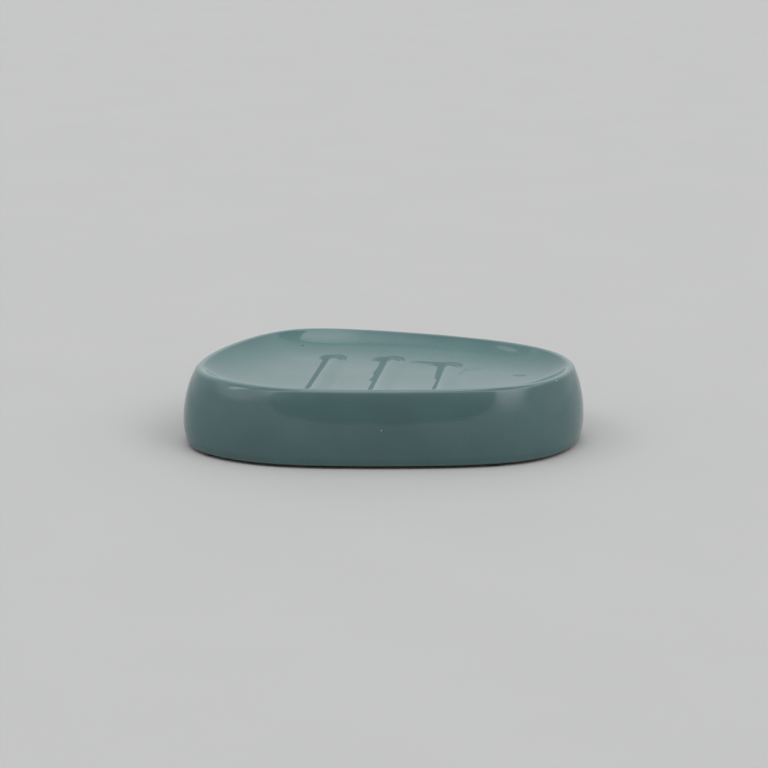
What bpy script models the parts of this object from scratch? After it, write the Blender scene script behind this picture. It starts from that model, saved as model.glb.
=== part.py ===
"""A ceramic soap dish: one glazed casting on four thin rubber pads.

The dish lies along X, its three drainage ribs run along Y and +Z is up. The origin is in the middle
of its box, on the surface that it stands on. All sizes are in metres.
"""
import math

import bmesh
import bpy
import numpy as np
from mathutils import Matrix

MM = 0.001

# Overall size of the dish, from the table to the top of the lip
LENGTH = 135.0 * MM
DEPTH = 98.0 * MM
HEIGHT = 25.8 * MM

# Outline of the belt, the widest line round the wall. Twelve guide points stand round an ellipse of
# the full length and depth, from the right-hand end and anticlockwise. Each share says how far out
# its point stands: over one pulls a corner out, under one flattens a side. A cubic spline follows
# them, and the result is fitted to the length and the depth.
outline_reach_shares = (1.27, 1.23, 1.00, 0.97, 1.17, 0.99, 0.98, 1.11, 0.98, 0.81, 0.86, 1.17)
OUTLINE_SAMPLES = 60
RING_POINTS = 96

# Outer wall: it bellies out to the belt and leans in above it to a rolled lip
BELT_RISE = 7.5 * MM
LIP_LEAN = 3.4 * MM
LIP_RADIUS = 1.8 * MM
LIP_SHIFT = 0.3 * MM
FOOT_TUCK = 0.3 * MM
FOOT_EDGE_RADIUS = 0.8 * MM
WALL_STEPS = 3
LIP_STEPS = 4
FOOT_EDGE_STEPS = 2

# Basin: the lip rolls over into a bowl, steep at its edge and easing off to a level middle.
# The middle is a small copy of the bowl's edge, and the rings are closer together near the edge.
BASIN_DEPTH = 6.5 * MM
LIP_INNER_RADIUS = 2.4 * MM
LIP_INNER_ANGLE = math.radians(38.0)
middle_share = 0.2
BOWL_STEPS = 10
ring_spread_power = 1.6

# Drainage ribs, moulded in the bowl. They end on a smaller copy of the crest's outline.
RIB_COUNT = 3
RIB_PITCH = 20.8 * MM
RIB_WIDTH = 8.2 * MM
RIB_LAND = 2.8 * MM
RIB_HEIGHT = 1.1 * MM
RIB_ROOT = 1.0 * MM
RIB_SHOULDER = 0.4 * MM
RIB_SHOULDER_STEPS = 2
shoulder_round_share = 0.5
RIB_ROW_SHIFT = -0.6 * MM
RIB_END_POINTS = 20
rib_reach_share = 0.62
# How much longer the slope at a rib's end is than the slope at its side
rib_end_share = 1.7

# Underside: a flat unglazed foot ring round a recess, so that the clay is nowhere too thick to fire
FOOT_RING_WIDTH = 10.0 * MM
RECESS_DRAFT = 1.5 * MM
RECESS_FILLET = 4.0 * MM
FLOOR_THICKNESS = 5.5 * MM
FILLET_STEPS = 3

# Four self-adhesive pads under the foot ring
PAD_DIAMETER = 8.0 * MM
PAD_THICKNESS = 0.8 * MM
PAD_SEAT_GAP = 0.3 * MM
PAD_POINTS = 32
# How far round the outline each pad stands, from the right-hand end and anticlockwise
pad_place_shares = {
    "foot_pad_back_right": 0.13,
    "foot_pad_back_left": 0.38,
    "foot_pad_front_left": 0.61,
    "foot_pad_front_right": 0.88,
}

# Places that follow from the sizes above
LIP_INSET = LIP_LEAN + LIP_RADIUS
FOOT_INSET = FOOT_TUCK + FOOT_EDGE_RADIUS
FOOT_Z = PAD_THICKNESS + PAD_SEAT_GAP
BELT_Z = FOOT_Z + BELT_RISE
FLOOR_Z = HEIGHT - BASIN_DEPTH
RIB_TOP_Z = FLOOR_Z + RIB_HEIGHT
ROOF_Z = FLOOR_Z - FLOOR_THICKNESS

# Edges that are turned more than this stay crisp in the shading
SHARP_ANGLE = math.radians(35.0)

# Finishes: base colour, roughness and metallic value
TEAL_GLAZE = ((0.125, 0.215, 0.225, 1.0), 0.10, 0.0)
GREY_RUBBER = ((0.030, 0.030, 0.032, 1.0), 0.85, 0.0)


def clear_scene():
    """Remove whatever objects the file already holds."""
    for old in list(bpy.data.objects):
        bpy.data.objects.remove(old, do_unlink=True)


def new_collection(name, shown=True):
    """Add a collection to the scene; a hidden one keeps its objects out of the render."""
    group = bpy.data.collections.new(name)
    bpy.context.scene.collection.children.link(group)
    group.hide_render = not shown
    return group


def new_material(name, finish):
    """Make a Principled material from a colour, a roughness and a metallic value."""
    colour, roughness, metallic = finish
    material = bpy.data.materials.new(name)
    material.use_nodes = True
    shader = material.node_tree.nodes["Principled BSDF"]
    shader.inputs["Base Color"].default_value = colour
    shader.inputs["Roughness"].default_value = roughness
    shader.inputs["Metallic"].default_value = metallic
    return material


def add_object(name, mesh, group, material=None):
    """Put a mesh into a collection as an object of the same name."""
    obj = bpy.data.objects.new(name, mesh)
    group.objects.link(obj)
    if material is not None:
        mesh.materials.append(material)
    return obj


def spline_round(guide, samples):
    """Follow a closed loop of guide points with a uniform cubic B-spline."""
    u = np.arange(samples) / samples
    weights = np.stack([
        (1 - u) ** 3,
        3 * u ** 3 - 6 * u ** 2 + 4,
        -3 * u ** 3 + 3 * u ** 2 + 3 * u + 1,
        u ** 3,
    ], axis=1) / 6
    stretches = []
    for k in range(len(guide)):
        four = [guide[(k + step) % len(guide)] for step in (-1, 0, 1, 2)]
        stretches.append(weights @ np.array(four))
    return np.concatenate(stretches)


def belt_curve():
    """Return a dense closed loop of points along the belt, fitted to the length and the depth."""
    reach = np.array(outline_reach_shares)
    turn = 2 * math.pi * np.arange(len(reach)) / len(reach)
    guide = np.stack([reach * np.cos(turn), reach * np.sin(turn)], axis=1)
    loop = spline_round(guide, OUTLINE_SAMPLES)
    low, high = loop.min(axis=0), loop.max(axis=0)
    return (loop - (low + high) / 2) / (high - low) * np.array([LENGTH, DEPTH])


def belt_at(shares):
    """Return the points and outward normals at the given shares of the way round the belt."""
    loop = belt_curve()
    closed = np.vstack([loop, loop[:1]])
    steps = np.linalg.norm(np.diff(closed, axis=0), axis=1)
    along = np.concatenate([[0.0], np.cumsum(steps)]) / steps.sum()
    tangent = np.roll(loop, -1, axis=0) - np.roll(loop, 1, axis=0)
    tangent = np.vstack([tangent, tangent[:1]])
    point = np.stack([np.interp(shares, along, closed[:, k]) for k in (0, 1)], axis=1)
    along_x, along_y = (np.interp(shares, along, tangent[:, k]) for k in (0, 1))
    size = np.hypot(along_x, along_y)
    normal = np.stack([along_y / size, -along_x / size], axis=1)
    return point, normal


def inset_ring(inset, shift=0.0):
    """Return the ring of points that lies a distance inside the belt, moved along X by shift."""
    point, normal = belt_at(np.arange(RING_POINTS) / RING_POINTS)
    return point - inset * normal + np.array([shift, 0.0])


def wall_profile(lean_in, rise, radius, edge_steps):
    """Return (inset, rise) pairs from the belt to a rounded edge.

    The wall is an arc that leaves the belt upright and would lean in by lean_in. It meets the edge's
    own arc tangentially, and that arc ends level, at the full rise.
    """
    lean = 2 * math.atan(lean_in / (rise - radius))
    sweep = (rise - radius * (1 - math.sin(lean))) / math.sin(lean)
    pairs = []
    for k in range(1, WALL_STEPS + 1):
        turn = lean * k / WALL_STEPS
        pairs.append((sweep * (1 - math.cos(turn)), sweep * math.sin(turn)))
    for k in range(1, edge_steps + 1):
        turn = lean + (math.pi / 2 - lean) * k / edge_steps
        inset = lean_in + radius * (1 - math.cos(turn))
        pairs.append((inset, rise - radius * (1 - math.sin(turn))))
    return pairs


def outer_rings():
    """Return the wall's rings as (points, height), from the foot's outer edge up to the crest."""
    below = wall_profile(FOOT_TUCK, BELT_RISE, FOOT_EDGE_RADIUS, FOOT_EDGE_STEPS)
    above = wall_profile(LIP_LEAN, HEIGHT - BELT_Z, LIP_RADIUS, LIP_STEPS)
    rings = [(inset_ring(inset), BELT_Z - drop) for inset, drop in reversed(below)]
    rings.append((inset_ring(0.0), BELT_Z))
    for inset, rise in above:
        shift = LIP_SHIFT * rise / (HEIGHT - BELT_Z)
        rings.append((inset_ring(inset, shift), BELT_Z + rise))
    return rings


def basin_rings():
    """Return the basin's rings, from the lip's inner roll down to the level middle of the bowl."""
    rings = []
    for k in range(1, LIP_STEPS + 1):
        turn = LIP_INNER_ANGLE * k / LIP_STEPS
        inset = LIP_INSET + LIP_INNER_RADIUS * math.sin(turn)
        drop = LIP_INNER_RADIUS * (1 - math.cos(turn))
        rings.append((inset_ring(inset, LIP_SHIFT), HEIGHT - drop))
    start, start_z = rings[-1]
    fall = start_z - FLOOR_Z
    ease = fall / math.tan(LIP_INNER_ANGLE)
    run = np.linalg.norm(start, axis=1) * (1 - middle_share)
    for k in range(1, BOWL_STEPS + 1):
        u = (k / BOWL_STEPS) ** ring_spread_power
        dip = fall * (1 - np.exp(-run * u / ease)) / (1 - np.exp(-run / ease))
        rings.append((start * (1 - (1 - middle_share) * u), start_z - dip))
    return rings


def underside_rings():
    """Return the underside's rings, from the foot ring's inner edge up to the recess's roof."""
    inset = FOOT_INSET + FOOT_RING_WIDTH
    rings = [(inset_ring(inset), FOOT_Z)]
    inset += RECESS_DRAFT
    for k in range(FILLET_STEPS + 1):
        turn = math.pi / 2 * k / FILLET_STEPS
        across = inset + RECESS_FILLET * (1 - math.cos(turn))
        rings.append((inset_ring(across), ROOF_Z - RECESS_FILLET * (1 - math.sin(turn))))
    return rings


def start_ring(bm, place, ring):
    """Start the mesh with one closed ring of edges, and number its points round the outline."""
    points, height = ring
    verts = [bm.verts.new((x, y, height)) for x, y in points]
    for k, vert in enumerate(verts):
        vert[place] = k
    return [bm.edges.new((verts[k - 1], verts[k])) for k in range(len(verts))]


def raise_ring(bm, place, edges, ring):
    """Extrude a ring of edges and lay the copy on the section's next ring; return its edges."""
    points, height = ring
    heights = np.broadcast_to(height, len(points))
    made = bmesh.ops.extrude_edge_only(bm, edges=edges)["geom"]
    verts = {item for item in made if isinstance(item, bmesh.types.BMVert)}
    for vert in verts:
        k = vert[place]
        vert.co = (points[k][0], points[k][1], heights[k])
    return [item for item in made if isinstance(item, bmesh.types.BMEdge) and verts.issuperset(item.verts)]


def make_dish_mesh():
    """Raise the casting ring by ring, and close it with the recess's roof and the basin's middle."""
    bm = bmesh.new()
    place = bm.verts.layers.int.new("place")
    rings = list(reversed(underside_rings())) + outer_rings() + basin_rings()
    edges = start_ring(bm, place, rings[0])
    bmesh.ops.contextual_create(bm, geom=edges)
    for ring in rings[1:]:
        edges = raise_ring(bm, place, edges, ring)
    bmesh.ops.contextual_create(bm, geom=edges)
    bmesh.ops.recalc_face_normals(bm, faces=bm.faces)
    mesh = bpy.data.meshes.new("dish_body")
    bm.to_mesh(mesh)
    bm.free()
    mesh.shade_smooth()
    mesh.set_sharp_from_angle(angle=SHARP_ANGLE)
    return mesh


def rib_ends(x):
    """Return the nearest and the furthest y of the ribs' outline on the line at x."""
    edge = rib_reach_share * inset_ring(LIP_INSET, LIP_SHIFT)
    crossings = []
    for k in range(len(edge)):
        (x0, y0), (x1, y1) = edge[k - 1], edge[k]
        if (x0 - x) * (x1 - x) < 0:
            crossings.append(y0 + (y1 - y0) * (x - x0) / (x1 - x0))
    return min(crossings), max(crossings)


def make_rib(name, x, group):
    """Make one rib: a tapered bar with long round ends, sunk into the bowl by its root."""
    near, far = rib_ends(x)
    flank = (RIB_WIDTH - RIB_LAND) / 2 / RIB_HEIGHT
    root_radius = RIB_WIDTH / 2 + flank * RIB_ROOT
    bm = bmesh.new()
    bmesh.ops.create_cone(bm, cap_ends=True, segments=RIB_END_POINTS, radius1=root_radius,
                          radius2=RIB_LAND / 2, depth=RIB_HEIGHT + RIB_ROOT)
    bmesh.ops.rotate(bm, verts=bm.verts, matrix=Matrix.Rotation(math.pi / RIB_END_POINTS, 3, "Z"))
    top = [edge for edge in bm.edges if all(vert.co.z > 0 for vert in edge.verts)]
    bmesh.ops.bevel(bm, geom=top, offset=RIB_SHOULDER, segments=RIB_SHOULDER_STEPS,
                    profile=shoulder_round_share, affect="EDGES", clamp_overlap=True)
    stretch = (far - near) / 2 - RIB_WIDTH / 2 * rib_end_share
    for vert in bm.verts:
        vert.co.y = vert.co.y * rib_end_share + math.copysign(stretch, vert.co.y)
    centre_z = (RIB_TOP_Z + FLOOR_Z - RIB_ROOT) / 2
    bmesh.ops.translate(bm, verts=bm.verts, vec=(x, (near + far) / 2, centre_z))
    mesh = bpy.data.meshes.new(name)
    bm.to_mesh(mesh)
    bm.free()
    rib = add_object(name, mesh, group)
    rib.hide_render = True
    rib.display_type = "WIRE"
    return rib


def make_dish(dish_group, helper_group):
    """Make the casting: the lofted body with its ribs joined on."""
    dish = add_object("dish_body", make_dish_mesh(), dish_group, new_material("teal_glaze", TEAL_GLAZE))
    for k in range(RIB_COUNT):
        x = RIB_ROW_SHIFT + (k - (RIB_COUNT - 1) / 2) * RIB_PITCH
        rib = make_rib("rib_" + str(k + 1), x, helper_group)
        join = dish.modifiers.new("join " + rib.name, "BOOLEAN")
        join.operation = "UNION"
        join.solver = "EXACT"
        join.object = rib
    return dish


def make_pads(dish_group):
    """Make the four pads, each in the middle of the foot ring's width."""
    material = new_material("grey_rubber", GREY_RUBBER)
    inset = FOOT_INSET + FOOT_RING_WIDTH / 2
    for name, share in pad_place_shares.items():
        point, normal = belt_at(np.array([share]))
        x, y = point[0] - inset * normal[0]
        bpy.ops.mesh.primitive_cylinder_add(vertices=PAD_POINTS, radius=PAD_DIAMETER / 2,
                                            depth=PAD_THICKNESS, location=(x, y, PAD_THICKNESS / 2))
        pad = bpy.context.active_object
        pad.name = name
        pad.data.name = name
        pad.data.materials.append(material.copy())
        for group in list(pad.users_collection):
            group.objects.unlink(pad)
        dish_group.objects.link(pad)
        pad.data.shade_smooth()
        pad.data.set_sharp_from_angle(angle=SHARP_ANGLE)


def main():
    clear_scene()
    dish_group = new_collection("ceramic_soap_dish")
    helper_group = new_collection("helpers", shown=False)
    make_dish(dish_group, helper_group)
    make_pads(dish_group)


main()
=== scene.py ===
# %% [markdown]
# # A glazed soap dish
# The object is one casting of fired clay under a glossy teal glaze, on four thin rubber pads. The
# imported CAD model gives its size and its places, and this script gives it its looks. First the frame
# is loaded, and its box is read for the dish's size.

# %% Load the frame
import math

import bmesh
import bpy
import numpy as np
from mathutils import Matrix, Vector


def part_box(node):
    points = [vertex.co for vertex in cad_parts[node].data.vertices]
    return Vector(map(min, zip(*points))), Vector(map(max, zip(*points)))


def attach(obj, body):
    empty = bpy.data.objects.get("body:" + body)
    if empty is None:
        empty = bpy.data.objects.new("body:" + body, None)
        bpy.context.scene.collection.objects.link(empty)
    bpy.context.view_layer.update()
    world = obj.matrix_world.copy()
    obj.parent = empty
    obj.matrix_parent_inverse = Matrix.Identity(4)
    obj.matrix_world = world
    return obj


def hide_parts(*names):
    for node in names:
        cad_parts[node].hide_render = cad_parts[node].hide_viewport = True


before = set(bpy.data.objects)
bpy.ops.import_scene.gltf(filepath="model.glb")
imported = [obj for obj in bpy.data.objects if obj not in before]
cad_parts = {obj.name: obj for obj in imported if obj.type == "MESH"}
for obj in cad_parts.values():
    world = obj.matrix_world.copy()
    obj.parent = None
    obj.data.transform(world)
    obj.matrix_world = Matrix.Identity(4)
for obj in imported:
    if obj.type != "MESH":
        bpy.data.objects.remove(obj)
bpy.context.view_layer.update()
MM = 0.001
dish_low, dish_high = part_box("dish_body")
LENGTH = dish_high.x - dish_low.x
DEPTH = dish_high.y - dish_low.y
FOOT_Z = dish_low.z
CREST_Z = dish_high.z
print("dish", round(LENGTH / MM, 1), "x", round(DEPTH / MM, 1), "mm, from", round(FOOT_Z / MM, 2),
      "to", round(CREST_Z / MM, 2), "mm above the table")

# %% [markdown]
# # The pebble outline
# Seen from above the dish is a lopsided pebble with no straight edge. A modeller could draw it as a
# closed curve, or push the points of a circle about. Here twelve guide points stand round an ellipse,
# each pulled out or in by a share, and a cubic spline runs through their middle. The same spline gives
# the direction straight out from the edge, and every ring of the section is laid along it.

# %% Draw the outline
outline_reach_shares = (1.27, 1.23, 1.00, 0.97, 1.17, 0.99, 0.98, 1.11, 0.98, 0.81, 0.86, 1.17)
OUTLINE_SAMPLES = 200


def pebble_curve():
    """Return a dense closed loop round the belt, fitted to the length and the depth."""
    reach = np.array(outline_reach_shares)
    turn = 2 * math.pi * np.arange(len(reach)) / len(reach)
    guide = np.stack([reach * np.cos(turn), reach * np.sin(turn)], axis=1)
    u = np.arange(OUTLINE_SAMPLES) / OUTLINE_SAMPLES
    weights = [(1 - u) ** 3, 3 * u ** 3 - 6 * u ** 2 + 4, -3 * u ** 3 + 3 * u ** 2 + 3 * u + 1, u ** 3]
    stretches = []
    for k in range(len(guide)):
        four = np.array([guide[(k + step) % len(guide)] for step in (-1, 0, 1, 2)])
        stretches.append(np.stack(weights, axis=1) @ four / 6)
    loop = np.concatenate(stretches)
    low, high = loop.min(axis=0), loop.max(axis=0)
    return (loop - (low + high) / 2) / (high - low) * np.array([LENGTH, DEPTH])


def belt_ring(count):
    """Return evenly spaced points round the belt, and the direction straight out at each."""
    loop = pebble_curve()
    closed = np.vstack([loop, loop[:1]])
    along = np.concatenate([[0.0], np.cumsum(np.linalg.norm(np.diff(closed, axis=0), axis=1))])
    tangent = np.roll(loop, -1, axis=0) - np.roll(loop, 1, axis=0)
    tangent = np.vstack([tangent, tangent[:1]])
    places = along[-1] * np.arange(count) / count
    point = np.stack([np.interp(places, along, closed[:, k]) for k in (0, 1)], axis=1)
    run_x, run_y = (np.interp(places, along, tangent[:, k]) for k in (0, 1))
    outward = np.stack([run_y, -run_x], axis=1) / np.hypot(run_x, run_y)[:, None]
    return point, outward, along[-1]


RING_POINTS = 144
belt_points, belt_outward, belt_length = belt_ring(RING_POINTS)
print("the belt is", round(belt_length / MM), "mm round")

# %% [markdown]
# # The section, walked like a potter's template
# Cut anywhere, the clay has nearly the same section: a recess, a flat foot, a bellied wall, a rolled
# lip, and a bowl that is steep at its edge and level in its middle. It could be swept along the
# outline as a profile curve, but then the bowl couldn't be wider at one end than at the other. So the
# section is a list of rings. Each stands a distance inside the belt, at a height. The wall and the lip
# are arcs that meet without a kink, and the bowl's depth follows an exponential, like a hanging cloth.

# %% Set out the section
BELT_RISE = 7.5 * MM
LIP_LEAN = 3.4 * MM
LIP_RADIUS = 1.8 * MM
LIP_SHIFT = 0.3 * MM
FOOT_TUCK = 0.3 * MM
# Below the belt the two ends draw in more than the front and the back
END_TUCK = 0.9 * MM
END_TUCK_POWER = 8
# The near left corner of the lip leans in more than the rest
CORNER_LEAN = 2.0 * MM
CORNER_TURN = math.radians(-144.0)
CORNER_REACH = math.radians(18.0)
CORNER_POWER = 9
FOOT_EDGE_RADIUS = 0.5 * MM
BASIN_DEPTH = 6.5 * MM
LIP_INNER_RADIUS = 2.4 * MM
LIP_INNER_ANGLE = math.radians(38.0)
floor_reach_share = 0.66
FOOT_RING_WIDTH = 10.0 * MM
RECESS_DRAFT = 1.5 * MM
RECESS_FILLET = 4.0 * MM
FLOOR_THICKNESS = 5.5 * MM
WALL_STEPS = 7
LIP_STEPS = 8
SLOPE_STEPS = 14
FOOT_EDGE_STEPS = 4
FILLET_STEPS = 5
FLOOR_LEDGE = 1.0 * MM

BELT_Z = FOOT_Z + BELT_RISE
FLOOR_Z = CREST_Z - BASIN_DEPTH
ROOF_Z = FLOOR_Z - FLOOR_THICKNESS
LIP_INSET = LIP_LEAN + LIP_RADIUS
FOOT_INSET = FOOT_TUCK + FOOT_EDGE_RADIUS


corner_turn = np.arctan2(belt_points[:, 1], belt_points[:, 0])
corner_lean = CORNER_LEAN * np.exp(-((corner_turn - CORNER_TURN) / CORNER_REACH) ** 2)


def inset_ring(inset, shift=0.0, lean_share=0.0):
    """Return the ring a distance inside the belt, and further in where the wall leans more."""
    inward = inset + lean_share * corner_lean
    return belt_points - inward[:, None] * belt_outward + np.array([shift, 0.0])


def wall_arcs(lean_in, rise, radius, edge_steps):
    """Return (inset, rise) pairs from the belt to a rounded edge that ends level."""
    lean = 2 * math.atan(lean_in / (rise - radius))
    sweep = (rise - radius * (1 - math.sin(lean))) / math.sin(lean)
    pairs = []
    for k in range(1, WALL_STEPS + 1):
        turn = lean * k / WALL_STEPS
        pairs.append((sweep * (1 - math.cos(turn)), sweep * math.sin(turn)))
    for k in range(1, edge_steps + 1):
        turn = lean + (math.pi / 2 - lean) * k / edge_steps
        pairs.append((lean_in + radius * (1 - math.cos(turn)), rise - radius * (1 - math.sin(turn))))
    return pairs


def underside_rings():
    """Return the recess, from the edge of its roof down to the foot's inner edge."""
    wall_inset = FOOT_INSET + FOOT_RING_WIDTH + RECESS_DRAFT
    rings = [(inset_ring(wall_inset + RECESS_FILLET + FLOOR_LEDGE), ROOF_Z)]
    for k in range(FILLET_STEPS + 1):
        turn = math.pi / 2 * (1 - k / FILLET_STEPS)
        across = wall_inset + RECESS_FILLET * (1 - math.cos(turn))
        rings.append((inset_ring(across), ROOF_Z - RECESS_FILLET * (1 - math.sin(turn))))
    inner_edge = FOOT_INSET + FOOT_RING_WIDTH
    rings.append((inset_ring(inner_edge + FOOT_EDGE_RADIUS / 2), FOOT_Z + FOOT_EDGE_RADIUS))
    rings.append((inset_ring(inner_edge), FOOT_Z))
    rings.append((inset_ring(inner_edge - FOOT_EDGE_RADIUS), FOOT_Z))
    return rings


def outer_rings():
    """Return the foot's outer edge, the wall and the lip up to its crest."""
    below = wall_arcs(FOOT_TUCK, BELT_RISE, FOOT_EDGE_RADIUS, FOOT_EDGE_STEPS)
    above = wall_arcs(LIP_LEAN, CREST_Z - BELT_Z, LIP_RADIUS, LIP_STEPS)
    at_end = (np.abs(belt_points[:, 0]) / (LENGTH / 2)) ** END_TUCK_POWER
    rings = []
    for inset, drop in reversed(below):
        more = END_TUCK * at_end * (drop / BELT_RISE) ** 2
        rings.append((inset_ring(inset) - more[:, None] * belt_outward, BELT_Z - drop))
    rings.append((inset_ring(0.0), BELT_Z))
    for inset, rise in above:
        share = rise / (CREST_Z - BELT_Z)
        rings.append((inset_ring(inset, LIP_SHIFT * share, share ** CORNER_POWER), BELT_Z + rise))
    return rings


bowl_edge = inset_ring(LIP_INSET + LIP_INNER_RADIUS * math.sin(LIP_INNER_ANGLE), LIP_SHIFT, 1.0)
BOWL_EDGE_Z = CREST_Z - LIP_INNER_RADIUS * (1 - math.cos(LIP_INNER_ANGLE))
BOWL_EASE = (BOWL_EDGE_Z - FLOOR_Z) / math.tan(LIP_INNER_ANGLE)


def bowl_reach(points):
    """Return each point's distance from the middle, and how far the bowl's edge is that way."""
    edge_turn = np.arctan2(bowl_edge[:, 1], bowl_edge[:, 0])
    order = np.argsort(edge_turn)
    edge_reach = np.hypot(bowl_edge[:, 0], bowl_edge[:, 1])
    turn = np.arctan2(points[:, 1], points[:, 0])
    reach = np.interp(turn, edge_turn[order], edge_reach[order], period=2 * math.pi)
    return np.hypot(points[:, 0], points[:, 1]), reach


def bowl_height(points):
    """Return the bowl's height: steep at its edge, and easing off to level in the middle."""
    distance, reach = bowl_reach(points)
    fall = 1 - np.exp(-(reach - distance) / BOWL_EASE)
    return BOWL_EDGE_Z - (BOWL_EDGE_Z - FLOOR_Z) * fall / (1 - np.exp(-reach / BOWL_EASE))


def basin_rings():
    """Return the lip's inner roll and the bowl, down to the rim of the part that holds the ribs."""
    rings = []
    for k in range(1, LIP_STEPS + 1):
        turn = LIP_INNER_ANGLE * k / LIP_STEPS
        inset = LIP_INSET + LIP_INNER_RADIUS * math.sin(turn)
        drop = LIP_INNER_RADIUS * (1 - math.cos(turn))
        rings.append((inset_ring(inset, LIP_SHIFT, 1.0), CREST_Z - drop))
    for k in range(1, SLOPE_STEPS + 1):
        ring = bowl_edge * (1 - (1 - floor_reach_share) * k / SLOPE_STEPS)
        rings.append((ring, bowl_height(ring)))
    rings.append((ring * (1 - FLOOR_LEDGE / DEPTH), FLOOR_Z))
    return rings


section = underside_rings() + outer_rings() + basin_rings()
print("the section has", len(section), "rings")

# %% [markdown]
# # Raising the casting from one circle
# The mesh starts as a plain circle. In edit mode its edge is extruded again and again, and every new
# ring is laid on the next line of the section. Each point carries the number of its place round
# the belt, and an extruded copy keeps it, so the script always knows where a point belongs.
# Subdivision then rounds what is between the rings.

# %% Extrude the casting ring by ring


def select_none():
    """Leave edit mode and deselect every object, the frame's nodes too."""
    if bpy.context.object and bpy.context.object.mode == "EDIT":
        bpy.ops.object.mode_set(mode="OBJECT")
    bpy.ops.object.select_all(action="DESELECT")


def apply_modifier(obj, kind, **settings):
    """Add a modifier with these settings and apply it."""
    select_none()
    bpy.context.view_layer.objects.active = obj
    obj.select_set(True)
    modifier = obj.modifiers.new(kind, kind)
    for name, value in settings.items():
        setattr(modifier, name, value)
    bpy.ops.object.modifier_apply(modifier=modifier.name)


def lay_selected(mesh, ring):
    """Move the selected ring of points to its place in the section."""
    points, heights = ring
    heights = np.broadcast_to(heights, len(points))
    bm = bmesh.from_edit_mesh(mesh)
    place = bm.verts.layers.int["place"]
    for vert in bm.verts:
        if vert.select:
            k = vert[place]
            vert.co = (points[k][0], points[k][1], heights[k])
    bmesh.update_edit_mesh(mesh)


select_none()
bpy.ops.mesh.primitive_circle_add(vertices=RING_POINTS, radius=LENGTH / 2, location=(0, 0, ROOF_Z))
dish = bpy.context.active_object
dish.name = "glazed_dish"
dish.data.name = "glazed_dish"
dish.data.transform(dish.matrix_world)
dish.matrix_world.identity()
dish.data.attributes.new("place", "INT", "POINT")
turns = np.array([math.atan2(vert.co.y, vert.co.x) for vert in dish.data.vertices])
order = np.argsort(np.argsort(turns % (2 * math.pi)))
dish.data.attributes["place"].data.foreach_set("value", order.astype(np.int32))
bpy.ops.object.mode_set(mode="EDIT")
bpy.ops.mesh.select_all(action="SELECT")
lay_selected(dish.data, section[0])
for ring in section[1:]:
    bpy.ops.mesh.extrude_edges_move()
    lay_selected(dish.data, ring)
bpy.ops.object.mode_set(mode="OBJECT")
apply_modifier(dish, "SUBSURF", levels=1, render_levels=1)
print("the open casting has", len(dish.data.polygons), "faces")

# %% [markdown]
# # Closing the roof and the bowl
# Two openings are left, one over the recess and one in the middle of the bowl. One face closes each.
# The bowl's face is then cut by bisecting planes into a fine grid, close together where the sides of
# the ribs will rise and wider apart elsewhere. Subdividing it evenly would need ten times the faces.

# %% Close the openings and cut the floor's grid
RIB_COUNT = 3
RIB_PITCH = 20.8 * MM
RIB_WIDTH = 8.2 * MM
RIB_ROW_SHIFT = -0.6 * MM
RIB_FLANK = 2.7 * MM
GRID_FINE = 0.25 * MM
GRID_WIDE = 0.8 * MM
GRID_ROW = 0.5 * MM
GRID_MARGIN = 1.5 * MM
CUT_THRESHOLD = 0.001 * MM
rib_places = [RIB_ROW_SHIFT + (k - (RIB_COUNT - 1) / 2) * RIB_PITCH for k in range(RIB_COUNT)]


def select_rim(mesh, height):
    """Select the open edges at a height."""
    bm = bmesh.from_edit_mesh(mesh)
    for edge in bm.edges:
        edge.select_set(edge.is_boundary and abs(edge.verts[0].co.z - height) < FLOOR_LEDGE)
    bmesh.update_edit_mesh(mesh)


def cut(place, direction):
    """Bisect all that shows with a plane."""
    bpy.ops.mesh.select_all(action="SELECT")
    bpy.ops.mesh.bisect(plane_co=place, plane_no=direction, threshold=CUT_THRESHOLD)


bpy.ops.object.mode_set(mode="EDIT")
bpy.ops.mesh.select_mode(type="EDGE")
bpy.ops.mesh.select_all(action="DESELECT")
select_rim(dish.data, ROOF_Z)
bpy.ops.mesh.edge_face_add()
bpy.ops.mesh.select_all(action="DESELECT")
select_rim(dish.data, FLOOR_Z)
bpy.ops.mesh.edge_face_add()
bpy.ops.mesh.select_mode(type="FACE")
bpy.ops.mesh.inset(thickness=FLOOR_LEDGE)
bpy.ops.mesh.hide(unselected=True)
half_width = RIB_WIDTH / 2 + GRID_MARGIN
reach_x, reach_y = LENGTH / 2 * floor_reach_share, DEPTH / 2 * floor_reach_share
columns = set(np.arange(-reach_x, reach_x, GRID_WIDE).tolist())
for middle in rib_places:
    for side in (-1, 1):
        edge_x = middle + side * RIB_WIDTH / 2
        columns = {x for x in columns if abs(x - edge_x) > RIB_FLANK + GRID_MARGIN}
        near_edge = np.arange(-GRID_MARGIN, RIB_FLANK + GRID_MARGIN, GRID_FINE)
        columns |= set((edge_x - side * near_edge).tolist())
for x in sorted(columns):
    cut((x, 0, 0), (1, 0, 0))
for y in np.arange(-reach_y, reach_y, GRID_ROW):
    cut((0, y, 0), (0, 1, 0))
bpy.ops.mesh.reveal(select=False)
bpy.ops.object.mode_set(mode="OBJECT")
print("with its floor cut the casting has", len(dish.data.polygons), "faces")
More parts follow.
